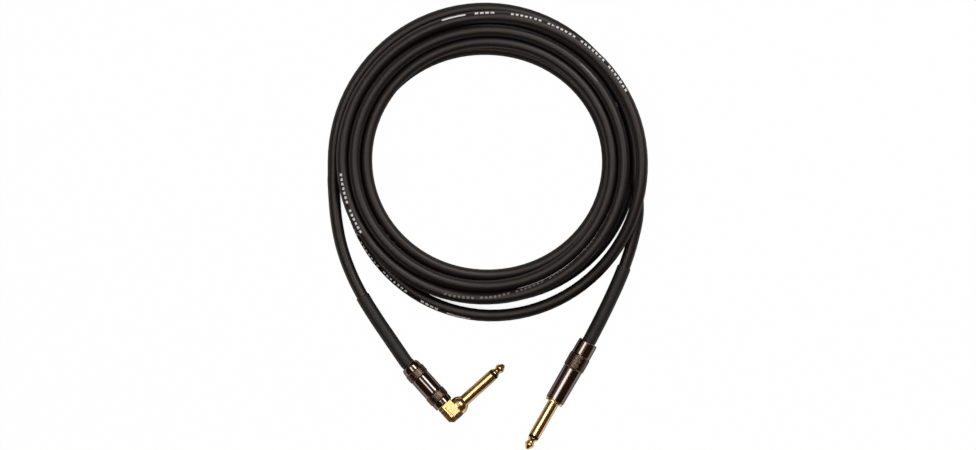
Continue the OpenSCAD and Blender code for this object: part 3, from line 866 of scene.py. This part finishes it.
class CABLE_OT_cord(bpy.types.Operator):
    """The coiled cable and its two shrunk sleeves"""

    bl_idname = "cable.cord"
    bl_label = "Cable"

    def execute(self, context):
        sizes = context.scene.cable_sizes
        path, turns = cable_route()
        rolls = [between(PRINT_ROLL, t) / 360 for t in turns]
        places = print_places(turns, lengths(path))
        cord = swept("instrument_cable", path, sizes.cable / 2, CORD_SIDES, rolls, places)
        settle(cord, "cable", "jacket", "cable_coil", "cable_tail_straight",
               "cable_tail_angle")
        sleeves = [
            self.sleeve("straight_shrunk_sleeve", STRAIGHT, STRAIGHT_SLEEVE, path[:SLEEVE_END],
                        seed=3.0),
            self.sleeve("angle_shrunk_sleeve", ANGLE, ANGLE_SLEEVE, path[:-SLEEVE_END - 1:-1],
                        seed=8.0)]
        total = lengths(path)[-1]
        return {"FINISHED"}

    def sleeve(self, name, place, start, route, seed):
        """A shrunk sleeve on the route from a plug: its skin, rolled lips and snug bore."""
        sizes = bpy.context.scene.cable_sizes
        coarse = [place @ Vector((0, 0, start * MM))] + route[SLEEVE_START:]
        path = []
        for a, b in zip(coarse, coarse[1:]):
            parts = max(1, round((b - a).length / (0.5 * MM)))
            path += [a.lerp(b, k / parts) for k in range(parts)]
        path.append(coarse[-1])
        run = lengths(path)
        bore, wall = sizes.cable / 2 + 0.02 * MM, sizes.shrink_wall
        sides, lip = SLEEVE_SIDES, 0.5 * MM
        frames = ring_frames(path)
        vertices, faces, uvs = [], [], []
        for i, (side, up) in enumerate(frames):
            ends = min(run[i], run[-1] - run[i])
            thick = wall * min(1.0, 0.55 + 0.45 * ends / lip)
            for k in range(sides):
                a = 2 * pi * k / sides
                ripple = noise.noise(Vector((3 * cos(a), 3 * sin(a), run[i] * 90 + seed)))
                r = bore + thick + 0.05 * MM * ripple
                vertices.append(path[i] + r * (cos(a) * side + sin(a) * up))
        outer = len(vertices)
        for i in range(len(path)):
            side, up = frames[i]
            for k in range(sides):
                a = 2 * pi * k / sides
                vertices.append(path[i] + bore * (cos(a) * side + sin(a) * up))
        rows = len(path)
        for i in range(rows - 1):
            for k in range(sides):
                m = (k + 1) % sides
                quad = (i * sides + k, i * sides + m, (i + 1) * sides + m, (i + 1) * sides + k)
                uv = [(run[i], k / sides), (run[i], (k + 1) / sides),
                      (run[i + 1], (k + 1) / sides), (run[i + 1], k / sides)]
                faces.append(quad)
                uvs.append(uv)
                faces.append(tuple(outer + v for v in reversed(quad)))
                uvs.append(list(reversed(uv)))
        for k in range(sides):
            m, end = (k + 1) % sides, (rows - 1) * sides
            faces.append((m, k, outer + k, outer + m))
            faces.append((end + k, end + m, outer + end + m, outer + end + k))
            uvs += [[(0.0, k / sides)] * 4, [(run[-1], k / sides)] * 4]
        piece = new_piece(name, vertices, faces, uvs)
        node = name.replace("_shrunk_sleeve", "_heat_shrink")
        return settle(piece, "cable", "shrink", node)


# outline of both tips, (radius, place along the shaft) from the point to the insulating ring
TIP_PROFILE = [(0, -30.5), (0.51, -30.5), (1.08, -30.13), (2.29, -28.28), (2.7, -27.61),
               (2.76, -27.17), (2.51, -26.65), (1.94, -25.54), (1.87, -25.1), (2.79, -23.62),
               (2.86, -23.1), (ROD_R, -23.1)]


class CABLE_OT_tips(bpy.types.Operator):
    """Turned tip contacts of both plugs"""

    bl_idname = "cable.tips"
    bl_label = "Tip contacts"

    def execute(self, context):
        for name, place, end in (("straight", STRAIGHT, STRAIGHT_ROD_END),
                                 ("angle", ANGLE_SHAFT, ANGLE_ROD_END)):
            profile = TIP_PROFILE + [(ROD_R, end), (0, end)]
            piece = turned(name + "_turned_tip", place, profile, TIP_SIDES, 0.45)
            settle(piece, "cable", "gold", name + "_tip_contact")
        return {"FINISHED"}


class CABLE_OT_shafts(bpy.types.Operator):
    """Sleeve contacts of both plugs, with the straight plug's screw thread"""

    bl_idname = "cable.shafts"
    bl_label = "Shafts"

    def execute(self, context):
        pitch = context.scene.plug_sizes.pitch / MM
        shaft = [(SHAFT_BORE, RING_REAR), (SHAFT_R, RING_REAR), (SHAFT_R, 0)]
        profile = shaft + [
            (4.8, 0), (FLANGE_R, 0.3), (FLANGE_R, FLANGE_END), (THREAD_R, FLANGE_END),
            (THREAD_R, THREAD_END), (SHAFT_BORE, THREAD_END)]
        piece = turned("straight_turned_shaft", STRAIGHT, profile, SHAFT_SIDES, 0.1,
                       thread(THREAD_START, THREAD_END, THREAD_LEAST_R, pitch, THREAD_DEPTH),
                       (THREAD_START - 0.3, THREAD_END, THREAD_LEAST_R, pitch / 6))
        settle(piece, "cable", "gold", "straight_sleeve_contact")
        profile = shaft + [(STEM_R, 0), (STEM_R, STEM_END), (SHAFT_BORE, STEM_END)]
        piece = turned("angle_turned_shaft", ANGLE_SHAFT, profile, SHAFT_SIDES, 0.1)
        settle(piece, "cable", "gold", "angle_sleeve_contact")
        return {"FINISHED"}


class CABLE_OT_head(bpy.types.Operator):
    """Head and cap of the right-angle plug, with rounded edges"""

    bl_idname = "cable.head"
    bl_label = "Head"

    def execute(self, context):
        edge = context.scene.plug_sizes.edge
        for name, node in (("angle_cast_head", "angle_head"),
                           ("angle_pressed_cap", "angle_cap")):
            piece = bevelled(name, node, edge)
            settle(piece, "cable", "gold", node)
        return {"FINISHED"}


class CABLE_OT_barrels(bpy.types.Operator):
    """Screw barrels with diamond knurls"""

    bl_idname = "cable.barrels"
    bl_label = "Barrels"

    def execute(self, context):
        sizes = context.scene.plug_sizes
        depth, teeth = sizes.knurl_depth / MM, sizes.knurl_teeth
        start, end, k0, k1 = 1.4, STRAIGHT_REAR, 22.6, 30.6
        profile = [
            (THREAD_BORE, start), (5.25, start), (5.45, start + 0.2), (5.6, k0 - 0.9),
            (WAIST_R, k0 - 0.4), *self.knurled(k0, k1), (5.6, k1 + 0.3), (BARREL_R, k1 + 0.8),
            (5.6, end - 0.5), (5.2, end), (EXIT_BORE, end), (EXIT_BORE, end - 1.5),
            (LINER_BORE, end - 1.5), (LINER_BORE, 7.8), (THREAD_BORE, 7.8)]
        piece = turned("straight_screw_barrel", STRAIGHT, profile, 6 * teeth, 0.1,
                       knurl([(k0, k1)], KNURL_R, depth, teeth),
                       (k0, k1, KNURL_CUT_R, KNURL_STEP))
        settle(piece, "straight_barrel", "bronze", "straight_barrel")

        start, end = 6.0, ANGLE_REAR
        front0, front1, rear0, rear1 = 9.9, 14.6, 27.1, 31.6
        profile = [
            (THREAD_BORE, start), (5.2, start), (5.6, start + 0.4), (BARREL_R, front0 - 0.7),
            (WAIST_R, front0 - 0.3), *self.knurled(front0, front1), (WAIST_R, front1 + 0.3),
            (BARREL_R, front1 + 0.7), (BARREL_R, rear0 - 0.7), (WAIST_R, rear0 - 0.3),
            *self.knurled(rear0, rear1), (5.6, rear1 + 0.3), (5.6, end - 2.4),
            (5.4, end - 1.2), (4.9, end - 0.3), (4.7, end), (EXIT_BORE, end - 0.2),
            (EXIT_BORE, end - 2.9), (LINER_BORE, end - 2.9), (LINER_BORE, 12.4),
            (THREAD_BORE, 12.4)]
        piece = turned("angle_screw_barrel", ANGLE, profile, 6 * teeth, 0.1,
                       knurl([(front0, front1), (rear0, rear1)], KNURL_R, depth, teeth),
                       (front0, rear1, KNURL_CUT_R, KNURL_STEP))
        settle(piece, "angle_barrel", "bronze", "angle_barrel")
        return {"FINISHED"}

    def knurled(self, k0, k1):
        """Profile of a knurled band, bevelled at both ends."""
        return [(5.9, k0), (KNURL_R, k0 + 0.3), (KNURL_R, k1 - 0.3), (5.9, k1)]


class CABLE_OT_wiring(bpy.types.Operator):
    """Copper strands of the centre conductors and shield pigtails"""

    bl_idname = "cable.wiring"
    bl_label = "Wiring"

    def execute(self, context):
        for plug, place, wire_start, braid_start, strip in (
                ("straight", STRAIGHT, 9.7, 12.0, STRAIGHT_STRIP),
                ("angle", ANGLE, 2.8, 12.9, ANGLE_STRIP)):
            piece = strands(plug + "_core_strands", place, 0.0, wire_start, strip,
                            spread=0.4, wire=0.2, count=7, lay=9.0)
            settle(piece, "cable", "copper", plug + "_centre_conductor")
            piece = strands(plug + "_shield_strands", place, 2.7, braid_start, strip,
                            spread=0.5, wire=0.2, count=8, lay=7.0)
            settle(piece, "cable", "copper", plug + "_shield_pigtail")
        return {"FINISHED"}


class CABLE_OT_inner(bpy.types.Operator):
    """Materials of the solids, of which the inner ones stay in view"""

    bl_idname = "cable.inner"
    bl_label = "Inner pieces"

    def execute(self, context):
        for node in sorted(SLOTS):
            dress(node)
        return {"FINISHED"}


class CABLE_PT_pieces(bpy.types.Panel):
    """Lists the cable's pieces and sizes"""

    bl_idname = "CABLE_PT_pieces"
    bl_label = "Instrument cable"
    bl_space_type = "VIEW_3D"
    bl_region_type = "UI"
    bl_category = "Cable"

    def draw(self, context):
        """Shows every size and colour, then a button for each piece."""
        layout = self.layout
        for group in ("cable_sizes", "plug_sizes", "stage_sizes"):
            sizes = getattr(context.scene, group)
            box = layout.box()
            for key in sizes.bl_rna.properties.keys():
                if key not in ("rna_type", "name"):
                    box.prop(sizes, key)
        for operator in OPERATORS:
            layout.operator(operator.bl_idname)


GROUPS = {"cable_sizes": CableSizes, "plug_sizes": PlugSizes, "stage_sizes": StageSizes}
OPERATORS = (CABLE_OT_stage, CABLE_OT_cord, CABLE_OT_inner, CABLE_OT_tips, CABLE_OT_shafts,
             CABLE_OT_head, CABLE_OT_barrels, CABLE_OT_wiring)


def register():
    for name, group in GROUPS.items():
        bpy.utils.register_class(group)
        setattr(bpy.types.Scene, name, bpy.props.PointerProperty(type=group))
    for cls in (*OPERATORS, CABLE_PT_pieces):
        bpy.utils.register_class(cls)


def unregister():
    for cls in reversed((*OPERATORS, CABLE_PT_pieces)):
        bpy.utils.unregister_class(cls)
    for name, group in reversed(GROUPS.items()):
        delattr(bpy.types.Scene, name)
        bpy.utils.unregister_class(group)


def main():
    register()
    for operator in OPERATORS:
        getattr(bpy.ops.cable, operator.bl_idname.split(".")[1])()


if __name__ == "__main__":
    main()
